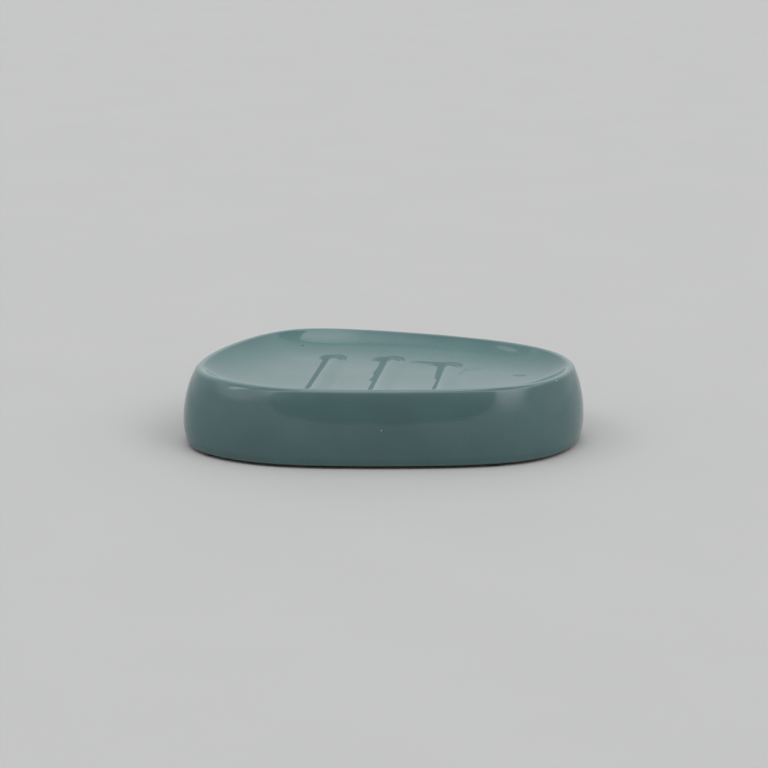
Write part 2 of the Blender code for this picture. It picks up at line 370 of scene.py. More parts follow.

# %% [markdown]
# # Ribs under running glaze
# The three ribs keep a bar of soap out of its water. They are cast in the bowl and the glaze runs down
# their sides, so nothing about them is sharp. A raised and bevelled strip would be too crisp, and
# proportional editing falls away alike on all sides, so the grid's points are lifted by a formula: a
# rise across each rib times a longer rise at its ends. The left side of each rib is the steep one. At
# its foot lies a deep-coloured band with a wandering edge, partly a pool of glaze and partly a painted
# dark reflection, and a painted dark reflection caps each rib's head. The edge is written as a few
# places joined by smooth steps, and the bands are kept for the colour.

# %% Shape the ribs
RIB_HEIGHT = 1.08 * MM
RIB_FAR_FALL = 7.3 * MM
RIB_NEAR_FALL = 5.0 * MM
RIB_END_ROUND = 4.2 * MM
RIB_RIGHT_FLANK = 4.0 * MM
RIB_FLARE = 0.5 * MM
RIB_FLARE_INSET = 2.8 * MM
RIB_FLARE_REACH = 2.3 * MM
ramp_soft_share = 0.18
RAMP_SAMPLES = 9
rib_reaches = ((-28.5 * MM, 28.2 * MM), (-28.5 * MM, 27.3 * MM), (-24.5 * MM, 22.2 * MM))
POOL_AND_REFLECTION_BLUR = 0.25 * MM
HEAD_MIDDLE = 0.22
HEAD_REACH = 0.26
head_width_share = 0.85
# For each rib, places along its left foot in mm: (how far back, how far the foot lies outward there)
rib_left_feet = (
    ((-10, 0.05), (10, 0.0)),
    ((-7.6, -0.4), (-5.2, 0.35), (8, 0.75), (16, 0.4)),
    ((-7, -0.9), (8, 0.4), (16, 0.5)),
)
# For each rib, the same for the outer edge of its pool of glaze and painted dark reflection
rib_pool_and_reflection_edges = (
    ((-10, 0.0), (20.5, 0.0), (23.5, 1.5), (25.0, 1.5), (27.5, 0.3)),
    ((-7, -0.5), (-5.6, -0.2), (-4.4, 0.9), (-3.0, 0.8), (2.0, 0.3), (7.5, 0.9), (13, 0.4), (20.0, 0.5),
     (23.5, 2.2), (25.5, 2.2), (27.5, 0.3)),
    ((-9, -1.0), (-1.0, -1.1), (1.8, -0.1), (10, 0.4), (15.5, 0.5), (18.5, 1.7), (20.5, 1.7),
     (22.0, 0.3)),
)


def ramp(share):
    """Climb from 0 to 1 in a straight line with rounded ends."""
    steps = np.linspace(-ramp_soft_share, ramp_soft_share, RAMP_SAMPLES)
    return sum(np.clip(share + step, 0.0, 1.0) for step in steps) / len(steps)


def smooth_step(value, low, high):
    """Climb smoothly from 0 at low to 1 at high."""
    share = np.clip((value - low) / (high - low), 0.0, 1.0)
    return share * share * (3 - 2 * share)


def bump(value, middle, width):
    """Return a smooth bump of height 1."""
    return np.exp(-((value - middle) / width) ** 2)


def wander(y, stations):
    """Join the places along a rib's foot with smooth steps."""
    sag = np.full_like(y, stations[0][1] * MM)
    for (start, before), (end, after) in zip(stations, stations[1:]):
        sag += (after - before) * MM * smooth_step(y, start * MM, end * MM)
    return sag


def rib_height(x, y):
    """Return how far the ribs stand above the bowl at these places."""
    height = np.zeros_like(x)
    half = RIB_WIDTH / 2
    for middle, (near, far), stations in zip(rib_places, rib_reaches, rib_left_feet):
        flare = RIB_FLARE * bump(y, far - RIB_FLARE_INSET, RIB_FLARE_REACH)
        sag = wander(y, stations)
        left = ramp((x - middle + half + flare + sag) / (RIB_FLANK + flare + sag))
        right = ramp((middle + half - x) / RIB_RIGHT_FLANK)
        across = np.clip(np.abs(x - middle) / (half + flare * (x < middle)), 0.0, 1.0)
        drawn_in = RIB_END_ROUND * (1 - np.sqrt(1 - across ** 2))
        ends = ramp((far - drawn_in - y) / RIB_FAR_FALL) * ramp((y - near - drawn_in) / RIB_NEAR_FALL)
        height = np.maximum(height, RIB_HEIGHT * left * right * ends)
    return height


def pool_and_reflection_cover(x, y):
    """Return how much of each place is covered by the pools of glaze and painted dark reflections along
    the ribs and at their heads.
    """
    cover = np.zeros_like(x)
    for middle, (near, far), stations in zip(rib_places, rib_reaches, rib_pool_and_reflection_edges):
        outer = middle - RIB_WIDTH / 2 - wander(y, stations)
        inner = middle - RIB_WIDTH / 2 + RIB_FLANK
        across = smooth_step(x, outer - POOL_AND_REFLECTION_BLUR, outer + POOL_AND_REFLECTION_BLUR)
        across = across * smooth_step(x, inner, inner - RIB_FLANK / 3)
        along = smooth_step(y, near, near + RIB_NEAR_FALL) * smooth_step(y, far, far - POOL_AND_REFLECTION_BLUR * 4)
        cover = np.maximum(cover, across * along)
        from_middle = np.abs(x - middle) / (RIB_WIDTH / 2)
        drawn_in = RIB_END_ROUND * (1 - np.sqrt(1 - np.clip(from_middle, 0.0, 1.0) ** 2))
        head = bump((far - drawn_in - y) / RIB_FAR_FALL, HEAD_MIDDLE, HEAD_REACH)
        cover = np.maximum(cover, head * smooth_step(from_middle, 1.0, head_width_share))
    return cover


# %% [markdown]
# # Runs where the glaze drew together
# Glaze that melts on a level surface draws into low ridges. One runs from the head of the right-hand
# rib towards the middle one, a fainter one curls beyond it, and a small dimple lies further right.
# They are too small to sculpt by hand, so each is a line with a height that fades out to its sides.
# Each also takes the pools' dull skin and their deeper colour, a painted dark reflection.

# %% Add the runs and lift the points
# Each run in mm: its two ends (x, y), its height, its half width and how dull it is, which also sets
# how much painted dark reflection it takes
glaze_runs = (
    ((6.0, 21.6), (15.0, 20.9), 0.20, 0.8, 1.0),
    ((24.3, 9.0), (25.5, 14.3), 0.05, 0.7, 0.3),
    ((25.5, 14.3), (30.9, 15.6), 0.05, 0.7, 0.3),
    ((43.3, 6.4), (46.4, 5.6), -0.05, 0.7, 0.8),
)


def run_cover(x, y, run):
    """Return how much of each place a run covers: all on a straight line, and less to its sides."""
    (x0, y0), (x1, y1), _, half_width, _ = run
    length_2 = (x1 - x0) ** 2 + (y1 - y0) ** 2
    along = np.clip(((x / MM - x0) * (x1 - x0) + (y / MM - y0) * (y1 - y0)) / length_2, 0.0, 1.0)
    away = np.hypot(x / MM - x0 - along * (x1 - x0), y / MM - y0 - along * (y1 - y0))
    return bump(away, 0.0, half_width)


def mesh_points(mesh):
    """Return a mesh's points as an array."""
    flat = np.empty(len(mesh.vertices) * 3)
    mesh.vertices.foreach_get("co", flat)
    return flat.reshape(-1, 3)


points = mesh_points(dish.data)
distance, reach = bowl_reach(points)
in_bowl = (distance < reach) & (points[:, 2] > (FLOOR_Z + ROOF_Z) / 2)
points[in_bowl, 2] = bowl_height(points[in_bowl])
bowl_x, bowl_y = points[in_bowl, 0], points[in_bowl, 1]
rib_lift = np.zeros(len(points))
rib_lift[in_bowl] = rib_height(bowl_x, bowl_y)
# Pools of glaze along the ribs, partly painted dark reflections
pooled_and_reflected = np.zeros(len(points))
pooled_and_reflected[in_bowl] = pool_and_reflection_cover(bowl_x, bowl_y)
points[:, 2] += rib_lift
for run in glaze_runs:
    cover = run_cover(bowl_x, bowl_y, run)
    points[in_bowl, 2] += run[2] * MM * cover
    pooled_and_reflected[in_bowl] = np.maximum(pooled_and_reflected[in_bowl], run[4] * cover)
dish.data.vertices.foreach_set("co", points.ravel())
dish.data.update()
print("the ribs stand", round(rib_lift.max() / MM, 2), "mm above a bowl",
      round(BASIN_DEPTH / MM, 2), "mm deep")

# %% [markdown]
# # A surface that was liquid once
# A glazed wall is never as true as a machined one: the coat is thicker here and thinner there, and a
# reflection in it bends. A bump map would bend the reflection only, so the surface itself is moved,
# by a Displace modifier with a cloud texture a few hundredths of a millimetre deep. A vertex group
# holds it off the foot, which was ground flat. One sag in front is given.

# %% Ripple the glaze
RIPPLE_SIZE = 9.0 * MM
RIPPLE_DEPTH = 0.10 * MM
bowl_ripple_share = 0.35
RIPPLE_FADE = 2.5 * MM
# Sags on the wall in mm: place (x, height), half width, half height, how far out
wall_sags = (((-20.1, 19.5), 2.6, 3.0, 0.12),)


def ripple_weights(points, in_bowl):
    """Return how much of the ripple each point takes: none at the foot, and less in the bowl."""
    ripple_start = FOOT_Z + FOOT_EDGE_RADIUS
    weight = smooth_step(points[:, 2], ripple_start, ripple_start + RIPPLE_FADE)
    inside_foot = bowl_reach(points)[0] < bowl_reach(points)[1]
    weight[inside_foot & ~in_bowl] = 0.0
    weight[in_bowl] = bowl_ripple_share
    return weight


points = mesh_points(dish.data)
group = dish.vertex_groups.new(name="rippled")
for index, weight in enumerate(ripple_weights(points, in_bowl)):
    if weight > 0:
        group.add([index], float(weight), "REPLACE")
clouds = bpy.data.textures.new("glaze_ripple", "CLOUDS")
clouds.noise_scale = RIPPLE_SIZE
apply_modifier(dish, "DISPLACE", texture=clouds, texture_coords="LOCAL", vertex_group=group.name,
               strength=RIPPLE_DEPTH, mid_level=0.5)
dish.vertex_groups.clear()
moved = mesh_points(dish.data)
print("the ripple moves points by up to", round(np.abs(moved - points).max() / MM, 3), "mm")
for (x, z), half_width, half_height, size in wall_sags:
    cover = bump(moved[:, 0] / MM, x, half_width) * bump(moved[:, 2] / MM, z, half_height)
    moved[:, 1] -= size * MM * cover * (moved[:, 1] < 0) * ~in_bowl
dish.data.vertices.foreach_set("co", moved.ravel())
dish.data.update()
dish.data.shade_smooth()

# %% [markdown]
# # How thick the glaze lies, and painted light and shade
# Melted glaze gathers in hollows and runs down walls. Where it is thin the pale clay shines through,
# and where it is thick the colour is deep. One attribute on the mesh, from 0 for thin to 1 for thick,
# carries this and painted light and shade too, because it follows the shape and not a pattern in
# space. The colour deepens up the slopes of the bowl. The crest of the lip is lighter, partly from thin
# glaze and partly as a painted highlight. The wall is deepest as painted shade, lighter towards the
# ends as painted light, with a band of painted shade just above the foot. Beside the ribs it fills the
# pools, which also carry painted dark reflections.

# %% Store the thickness of the glaze and the painted light and shade
CREST_BAND = 1.0 * MM
CREST_LINE = 0.40 * MM
# The crest is lighter: partly thin glaze, partly a painted highlight
crest_thin_and_highlight_share = 0.26
# Painted shade: the wall is deeper than the bowl
wall_shade_share = 0.90
bowl_depth_share = 0.50
# The colour deepens up the bowl's slopes
slope_darkening_share = 0.12
# Painted light: the wall is lighter towards the ends
end_light_share = 0.14
# Pools beside the ribs: partly pooled glaze, partly a painted dark reflection
pool_and_reflection_share = 0.15
rib_thin_share = 0.02
# Painted shade in a band just above the foot
foot_shade_share = 0.08
FOOT_SHADE_RISE = 1.6 * MM


def glaze_depth_and_shade(points, rib_lift, in_bowl):
    """Return the thickness of the glaze at each point, with painted light and shade laid in."""
    up_slope = np.clip((points[:, 2] - FLOOR_Z) / (CREST_Z - FLOOR_Z), 0.0, 1.0) ** 2
    to_end = np.clip(np.abs(points[:, 0]) / (LENGTH / 2), 0.0, 1.0) ** 2
    # Up the slopes the colour deepens; the wall is deepest as painted shade, and lighter at its ends as
    # painted light
    depth = np.where(in_bowl, bowl_depth_share + slope_darkening_share * up_slope,
                     wall_shade_share - end_light_share * to_end)
    to_crest = smooth_step(points[:, 2], CREST_Z - CREST_BAND, CREST_Z)
    depth += (bowl_depth_share + slope_darkening_share - wall_shade_share) * to_crest * ~in_bowl
    # A lighter crest, partly thin glaze and partly a painted highlight
    depth -= crest_thin_and_highlight_share * smooth_step(points[:, 2], CREST_Z - CREST_LINE, CREST_Z)
    # The pools and runs: partly pooled glaze, partly a painted dark reflection
    depth += pool_and_reflection_share * pooled_and_reflected - rib_thin_share * rib_lift / RIB_HEIGHT
    # Painted shade in a band just above the foot
    depth += foot_shade_share * bump(points[:, 2], FOOT_Z + FOOT_SHADE_RISE, FOOT_SHADE_RISE / 2)
    return depth


dulled = dish.data.attributes.new("glaze_dull", "FLOAT", "POINT")
dulled.data.foreach_set("value", pooled_and_reflected.astype(np.float32))
# The attribute holds the glaze's thickness together with the painted light and shade
thickness = dish.data.attributes.new("glaze_depth_and_shade", "FLOAT", "POINT")
depth_and_shade_values = glaze_depth_and_shade(mesh_points(dish.data), rib_lift, in_bowl)
thickness.data.foreach_set("value", depth_and_shade_values.astype(np.float32))
print("the glaze's thickness runs from", round(depth_and_shade_values.min(), 2), "to",
      round(depth_and_shade_values.max(), 2))

# %% [markdown]
# # Teal glaze over a buff clay
# The finish is a glossy teal glaze that was fired over pale clay. A photograph wrapped round the dish
# would smear on its lip, so the colour is made from patterns in the dish's own space: a slow drift
# from bath to bath of the glaze, a fine grain, and a few iron specks. The thickness attribute, which
# also carries painted light and shade, chooses between the thin and the deep colour. Below a wavering
# line at the foot the glaze was wiped off for the kiln, and the bare clay is rough and warm.

# %% Mix the glaze


def new_material(name, colour, roughness):
    """Start a Principled material and return it with its shader."""
    material = bpy.data.materials.new(name)
    material.use_nodes = True
    shader = material.node_tree.nodes["Principled BSDF"]
    shader.inputs["Base Color"].default_value = (*colour, 1.0)
    shader.inputs["Roughness"].default_value = roughness
    return material, shader


def add_node(tree, kind, inputs=(), **settings):
    """Add a node, set its options, and fill its inputs with numbers, colours or other sockets."""
    node = tree.nodes.new(kind)
    for name, value in settings.items():
        setattr(node, name, value)
    for socket, value in dict(inputs).items():
        if isinstance(value, bpy.types.NodeSocket):
            tree.links.new(value, node.inputs[socket])
        else:
            node.inputs[socket].default_value = value
    return node


def calculate(tree, operation, first, second=0.0):
    """Add a Math node and return its result."""
    return add_node(tree, "ShaderNodeMath", {0: first, 1: second}, operation=operation).outputs[0]


def edge_mask(tree, value, low, high):
    """Return a socket that climbs smoothly from 0 at low to 1 at high."""
    inputs = {"Value": value, "From Min": low, "From Max": high}
    node = add_node(tree, "ShaderNodeMapRange", inputs, interpolation_type="SMOOTHSTEP")
    return node.outputs["Result"]


def blend_colours(tree, share, first, second):
    """Mix two colours by a share."""
    inputs = {"Factor": share, 6: first, 7: second}
    return add_node(tree, "ShaderNodeMix", inputs, data_type="RGBA").outputs[2]


PEEL_DETAIL = 1.0
PLAIN_DETAIL = 2.0
GRAIN_DETAIL = 3.0
FINE_DETAIL = 4.0


def noise(tree, place, size, detail=PLAIN_DETAIL):
    """Return a noise pattern whose blotches are about this size."""
    inputs = {"Vector": place, "Scale": 1 / size, "Detail": detail}
    return add_node(tree, "ShaderNodeTexNoise", inputs).outputs["Fac"]


# The thin colour also shows the crest's painted highlight, and the deep colour the wall's painted shade
THIN_GLAZE_AND_HIGHLIGHT = (0.180, 0.260, 0.254, 1.0)
MIDDLE_GLAZE = (0.096, 0.183, 0.185, 1.0)
DEEP_GLAZE_AND_SHADE = (0.047, 0.092, 0.095, 1.0)
GRAIN_DARK = (0.90, 0.90, 0.90, 1.0)
GRAIN_LIGHT = (1.10, 1.10, 1.10, 1.0)
SPECK_BROWN = (0.045, 0.042, 0.034, 1.0)
SPECK_PALE = (0.360, 0.390, 0.370, 1.0)
BARE_CLAY = (0.34, 0.260, 0.190, 1.0)
BARE_CLAY_DARK = (0.23, 0.170, 0.122, 1.0)
DRIFT_SIZE = 16.0 * MM
drift_share = 0.22
GRAIN_SIZE = 0.7 * MM
GLAZE_LINE = 0.06 * MM
GLAZE_LINE_WAVER = 0.16 * MM
GLAZE_LINE_BLUR = 0.03 * MM
# Specks in mm: near which place (x, y, z), how large, and their colour
glaze_specks = (
    ((4.4, -46.4, 13.4), 0.26, SPECK_PALE), ((-36.2, -46.3, 18.6), 0.28, SPECK_BROWN),
    ((59.3, -19.2, 25.2), 0.32, SPECK_PALE), ((60.6, 9.7, 25.8), 0.34, SPECK_BROWN),
    ((-34.8, 33.4, 21.7), 0.60, DEEP_GLAZE_AND_SHADE), ((-67.0, 4.0, 15.0), 0.30, SPECK_BROWN),
    ((31.0, 46.0, 12.0), 0.30, SPECK_BROWN), ((-14.0, 49.0, 17.0), 0.24, SPECK_PALE),
)
SPECK_BLUR_SHARE = 0.5
PEEL_SIZE = 2.6 * MM
PEEL_DEPTH = 0.0035 * MM
GLAZE_ROUGHNESS = (0.05, 0.11)
POOL_ROUGHNESS = 0.55
CLAY_ROUGHNESS = 0.85
CLAY_TOOTH_SHARE = 8.0
SMEAR_EDGES = (0.3, 0.7)

teal_glaze, shader = new_material("teal_glaze", MIDDLE_GLAZE[:3], GLAZE_ROUGHNESS[0])
tree = teal_glaze.node_tree
place = add_node(tree, "ShaderNodeTexCoord").outputs["Object"]
height = add_node(tree, "ShaderNodeSeparateXYZ", {0: place}).outputs["Z"]
# The thickness attribute also carries painted light and shade
depth = add_node(tree, "ShaderNodeAttribute", attribute_name="glaze_depth_and_shade").outputs["Fac"]
drift = noise(tree, place, DRIFT_SIZE)
drift = calculate(tree, "MULTIPLY", calculate(tree, "SUBTRACT", drift, 0.5), drift_share)
ramp_node = add_node(tree, "ShaderNodeValToRGB", {0: calculate(tree, "ADD", depth, drift)})
stops = ramp_node.color_ramp.elements
stops[0].color = THIN_GLAZE_AND_HIGHLIGHT
stops[1].color = DEEP_GLAZE_AND_SHADE
stops.new(0.5).color = MIDDLE_GLAZE
grain = blend_colours(tree, noise(tree, place, GRAIN_SIZE, GRAIN_DETAIL), GRAIN_DARK, GRAIN_LIGHT)
glaze_colour = add_node(tree, "ShaderNodeMix", {"Factor": 1.0, 6: ramp_node.outputs[0], 7: grain},
                        data_type="RGBA", blend_type="MULTIPLY").outputs[2]
for near, size, colour in glaze_specks:
    on_surface = dish.closest_point_on_mesh([part * MM for part in near])[1]
    away = add_node(tree, "ShaderNodeVectorMath", {0: place, 1: on_surface}, operation="DISTANCE")
    speck = edge_mask(tree, away.outputs["Value"], size * MM, size * SPECK_BLUR_SHARE * MM)
    glaze_colour = blend_colours(tree, speck, glaze_colour, colour)
waver = calculate(tree, "MULTIPLY", noise(tree, place, RIPPLE_SIZE), GLAZE_LINE_WAVER)
above_line = calculate(tree, "SUBTRACT", height, FOOT_Z + GLAZE_LINE)
above_line = calculate(tree, "SUBTRACT", above_line, waver)
line_middle = -GLAZE_LINE_WAVER / 2
glazed = edge_mask(tree, above_line, line_middle - GLAZE_LINE_BLUR, line_middle + GLAZE_LINE_BLUR)
clay = blend_colours(tree, noise(tree, place, GRAIN_SIZE, FINE_DETAIL), BARE_CLAY_DARK, BARE_CLAY)
tree.links.new(blend_colours(tree, glazed, clay, glaze_colour), shader.inputs["Base Color"])

# %% [markdown]
# # Gloss and orange peel
# A gloss glaze has a faint orange peel and patches that are a little less bright, from minerals in the
# water. Both are far too shallow to model, so they are a bump and a change of roughness. The pools
# beside the ribs set with a dull skin, and mirror the least. The bare clay gets a coarse tooth.

# %% Polish the glaze and roughen the clay
smear = noise(tree, place, DRIFT_SIZE / 2, FINE_DETAIL)
gloss = add_node(tree, "ShaderNodeMapRange", {
    "Value": smear, "From Min": SMEAR_EDGES[0], "From Max": SMEAR_EDGES[1],
    "To Min": GLAZE_ROUGHNESS[0], "To Max": GLAZE_ROUGHNESS[1]})
dull = add_node(tree, "ShaderNodeAttribute", attribute_name="glaze_dull").outputs["Fac"]
dull = calculate(tree, "MULTIPLY", dull, POOL_ROUGHNESS)
gloss = calculate(tree, "ADD", gloss.outputs["Result"], dull)
rough = add_node(tree, "ShaderNodeMix", {"Factor": glazed, 2: CLAY_ROUGHNESS, 3: gloss},
                 data_type="FLOAT").outputs[0]
tree.links.new(rough, shader.inputs["Roughness"])
clay_tooth = noise(tree, place, GRAIN_SIZE / 2, FINE_DETAIL)
clay_tooth = calculate(tree, "MULTIPLY", clay_tooth, CLAY_TOOTH_SHARE)
orange_peel = noise(tree, place, PEEL_SIZE, PEEL_DETAIL)
relief = add_node(tree, "ShaderNodeMix", {"Factor": glazed, 2: clay_tooth, 3: orange_peel},
                  data_type="FLOAT").outputs[0]
peel = add_node(tree, "ShaderNodeBump", {"Height": relief, "Strength": 1.0, "Distance": PEEL_DEPTH})
tree.links.new(peel.outputs["Normal"], shader.inputs["Normal"])
dish.data.materials.append(teal_glaze)
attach(dish, "root")
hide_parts("dish_body")
print("the glaze has", len(tree.nodes), "nodes")

# %% [markdown]
# # Rubber pads under the foot
# Four thin pads keep the foot off the table. A real one is punched from sheet rubber with a moulded
# rim round a shallow dish that grips, and holds on by a film of adhesive. It is a cylinder with its
# edges bevelled and its underside inset twice and pushed in. It is modelled once and then copied, each
# copy with its own mesh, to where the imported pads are.

# %% Model one pad
PAD_SIDES = 64
PAD_EDGE_RADIUS = 0.18 * MM
PAD_RIM = 1.2 * MM
PAD_DISH = 0.22 * MM
PAD_DISH_SLOPE = 0.35 * MM
BEVEL_ANGLE = math.radians(25.0)
DOWNWARD = -0.9
ADHESIVE_INSET = 0.35 * MM
pad_names = [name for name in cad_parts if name.startswith("foot_pad")]
pad_low, pad_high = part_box(pad_names[0])
PAD_RADIUS = (pad_high.x - pad_low.x) / 2
PAD_TOP = pad_high.z


def add_disc(name, radius, bottom, top):
    """Add a cylinder on the Z axis between two heights, with its place in its mesh."""
    select_none()
    bpy.ops.mesh.primitive_cylinder_add(vertices=PAD_SIDES, radius=radius, depth=top - bottom,
                                        location=(0, 0, (bottom + top) / 2))
    disc = bpy.context.active_object
    disc.name = name
    disc.data.name = name
    disc.data.transform(disc.matrix_world)
    disc.matrix_world.identity()
    return disc


def select_faces(mesh, test):
    """Select the faces whose middle and normal pass a test."""
    bm = bmesh.from_edit_mesh(mesh)
    for face in bm.faces:
        face.select_set(test(face.calc_center_median(), face.normal))
    bm.select_flush_mode()
    bmesh.update_edit_mesh(mesh)


pattern_pad = add_disc("pattern_pad", PAD_RADIUS, 0.0, PAD_TOP)
bpy.ops.object.mode_set(mode="EDIT")
bpy.ops.mesh.select_mode(type="FACE")
bpy.ops.mesh.select_all(action="DESELECT")
select_faces(pattern_pad.data, lambda middle, normal: normal.z < DOWNWARD)
bpy.ops.mesh.inset(thickness=PAD_RIM)
bpy.ops.mesh.inset(thickness=PAD_DISH_SLOPE)
bpy.ops.transform.translate(value=(0, 0, PAD_DISH))
bpy.ops.mesh.select_all(action="SELECT")
bpy.ops.object.mode_set(mode="OBJECT")
apply_modifier(pattern_pad, "BEVEL", width=PAD_EDGE_RADIUS, segments=3, limit_method="ANGLE",
               angle_limit=BEVEL_ANGLE)
pattern_pad.data.shade_smooth()
print("one pad has", len(pattern_pad.data.polygons), "faces")

# %% [markdown]
# # Rubber and adhesive
# The rubber is dull and nearly black, with a fine pebble from its mould and paler dust where it rubs.
# The adhesive is a yellowish film, and only its edge can be seen.

# %% Colour the pads and place the copies
RUBBER_DARK = (0.022, 0.022, 0.024, 1.0)
RUBBER_DUSTY = (0.060, 0.059, 0.057, 1.0)
RUBBER_GRAIN = 0.35 * MM
RUBBER_DUST = 2.5 * MM
RUBBER_RELIEF = 0.02 * MM
ADHESIVE_PALE = (0.52, 0.49, 0.40, 1.0)
ADHESIVE_DULL = (0.36, 0.33, 0.26, 1.0)
RUBBER_ROUGHNESS = 0.82
ADHESIVE_ROUGHNESS = 0.45
BLOTCH_EDGES = (0.35, 0.7)


def patterned(name, dark, light, size, grain, relief_depth, roughness):
    """Make a dull material: two shades in blotches, and a fine relief."""
    material, shader = new_material(name, dark[:3], roughness)
    tree = material.node_tree
    place = add_node(tree, "ShaderNodeTexCoord").outputs["Object"]
    shade = edge_mask(tree, noise(tree, place, size, FINE_DETAIL), *BLOTCH_EDGES)
    tree.links.new(blend_colours(tree, shade, dark, light), shader.inputs["Base Color"])
    tooth = noise(tree, place, grain, GRAIN_DETAIL)
    relief = add_node(tree, "ShaderNodeBump", {"Height": tooth, "Strength": 1.0,
                                               "Distance": relief_depth})
    tree.links.new(relief.outputs["Normal"], shader.inputs["Normal"])
    return material


rubber = patterned("grey_rubber", RUBBER_DARK, RUBBER_DUSTY, RUBBER_DUST, RUBBER_GRAIN,
                   RUBBER_RELIEF, RUBBER_ROUGHNESS)
adhesive = patterned("adhesive_film", ADHESIVE_DULL, ADHESIVE_PALE, RUBBER_DUST, RUBBER_GRAIN,
                     RUBBER_RELIEF / 4, ADHESIVE_ROUGHNESS)
pattern_film = add_disc("pattern_film", PAD_RADIUS - ADHESIVE_INSET, PAD_TOP, FOOT_Z)
apply_modifier(pattern_film, "BEVEL", width=(FOOT_Z - PAD_TOP) / 4, segments=2, limit_method="ANGLE",
               angle_limit=BEVEL_ANGLE)
pattern_film.data.shade_smooth()


def place_copy(pattern, name, x, y, material):
    """Copy a pattern piece, with its own mesh, to a place on the table."""
    piece = bpy.data.objects.new(name, pattern.data.copy())
    piece.data.name = name
    piece.data.transform(Matrix.Translation((x, y, 0.0)))
    piece.data.materials.clear()
    piece.data.materials.append(material)
    bpy.context.scene.collection.objects.link(piece)
    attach(piece, "root")
    return piece


for name in pad_names:
    low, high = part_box(name)
    x, y = (low.x + high.x) / 2, (low.y + high.y) / 2
    pad = place_copy(pattern_pad, name.replace("foot_pad", "rubber_pad"), x, y, rubber)
    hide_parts(name)
    place_copy(pattern_film, name.replace("foot_pad", "pad_adhesive"), x, y, adhesive)
    print(pad.name, "at", round(x / MM, 1), round(y / MM, 1), "mm")
bpy.data.objects.remove(pattern_pad)
bpy.data.objects.remove(pattern_film)

# %% [markdown]
# # The table
# The dish stands on a sheet of pale matt paper, which runs so far back that it fills the view. Paper
# has a faint tooth, and its colour sets how pale the picture's background is.

# %% Lay the paper
FLOOR_RADIUS = 20.0
PAPER_PALE = (0.470, 0.473, 0.473, 1.0)
PAPER_SHADE = (0.463, 0.466, 0.466, 1.0)
PAPER_CLOUD = 60.0 * MM
PAPER_TOOTH = 0.8 * MM
PAPER_RELIEF = 0.03 * MM
PAPER_ROUGHNESS = 0.8
PAPER_SIDES = 64
select_none()
bpy.ops.mesh.primitive_circle_add(vertices=PAPER_SIDES, radius=FLOOR_RADIUS, fill_type="NGON",
                                  location=(0, 0, 0))
floor = bpy.context.active_object
floor.name = "studio_floor"
paper = patterned("pale_paper", PAPER_SHADE, PAPER_PALE, PAPER_CLOUD, PAPER_TOOTH,
                  PAPER_RELIEF, PAPER_ROUGHNESS)
floor.data.materials.append(paper)
print("the paper reaches", FLOOR_RADIUS, "m")

# %% [markdown]
# # A light tent
# Glossy things show their whole room, so they are photographed in a tent of white cloth with the light
# coming through from above. Lamps and sheets of cloth could be modelled, but they would stand in the
# way of a camera on the other side. So the tent is painted on the world: sheets of light and dark, one
# over another, each placed by where a line from the dish meets a ceiling 1 m up or a front wall 1 m
# away. First come the directions and the few helpers that lay one sheet over another.

# %% Measure the tent's directions
LEAST_REACH = 0.001
world = bpy.data.worlds.new("light_tent")
bpy.context.scene.world = world
world.use_nodes = True
tree = world.node_tree
tree.nodes.clear()
look = add_node(tree, "ShaderNodeTexCoord").outputs["Generated"]
axes = add_node(tree, "ShaderNodeSeparateXYZ", {0: look}).outputs
up = calculate(tree, "MAXIMUM", axes["Z"], LEAST_REACH)
roof_x = calculate(tree, "DIVIDE", axes["X"], up)
roof_y = calculate(tree, "DIVIDE", axes["Y"], up)
forward = calculate(tree, "MAXIMUM", calculate(tree, "MULTIPLY", axes["Y"], -1.0), LEAST_REACH)
front_x = calculate(tree, "DIVIDE", axes["X"], forward)
front_z = calculate(tree, "DIVIDE", axes["Z"], forward)


def straight(value, start, slope):
    """Return start plus slope times a value."""
    inputs = {0: value, 1: slope, 2: start}
    return add_node(tree, "ShaderNodeMath", inputs, operation="MULTIPLY_ADD").outputs[0]


def paint(under, cover, over):
    """Lay one level of light over another where cover is 1."""
    inputs = {"Factor": cover, 2: under, 3: over}
    return add_node(tree, "ShaderNodeMix", inputs, data_type="FLOAT").outputs[0]


def both(first, second):
    """Return the cover where two covers overlap."""
    return calculate(tree, "MULTIPLY", first, second)


def card(across, along, middle, half, roundness, blur):
    """Return the cover of a card with round corners and a blurred edge."""
    total = 0.0
    for value, centre, size in zip((across, along), middle, half):
        share = calculate(tree, "ABSOLUTE", calculate(tree, "SUBTRACT", value, centre))
        share = calculate(tree, "POWER", calculate(tree, "DIVIDE", share, size), roundness)
        total = calculate(tree, "ADD", share, total)
    return edge_mask(tree, total, 1 + blur, 1 - blur)


print("the directions take", len(tree.nodes), "nodes")

# %% [markdown]
# # The cloth: walls, a side panel and a roof
# The walls are pale all round. A brighter panel stands at the right of the front wall and gives the
# right shoulder of the dish its soft glow. The roof is the main light. It leans, so that it comes lower
# in front than behind, and it is brighter towards the front, apart from its left part.

# %% Hang the cloth
WALL_LEVEL = 0.66
WALL_LEVEL_BACKWARD = 0.08
SIDE_LEVEL = 2.2
SIDE_START = (0.65, 1.05)
SIDE_END = (2.6, 1.1)
SIDE_LEAN = -0.20
SIDE_FOOT = (-0.10, 0.60)
SIDE_BACK = (-0.15, -0.40)
ROOF_LEVEL = 1.5
ROOF_LEVEL_BACKWARD = -2.2
ROOF_LEAN = 0.35
ROOF_FOOT = (0.45, 0.70)
ROOF_FRONT_FOOT = (0.45, 1.25)
ROOF_BACK = (0.80, 0.50)
ROOF_BRIGHTEST = -1.0
ROOF_LEFT_FADE = (-0.95, -0.40)

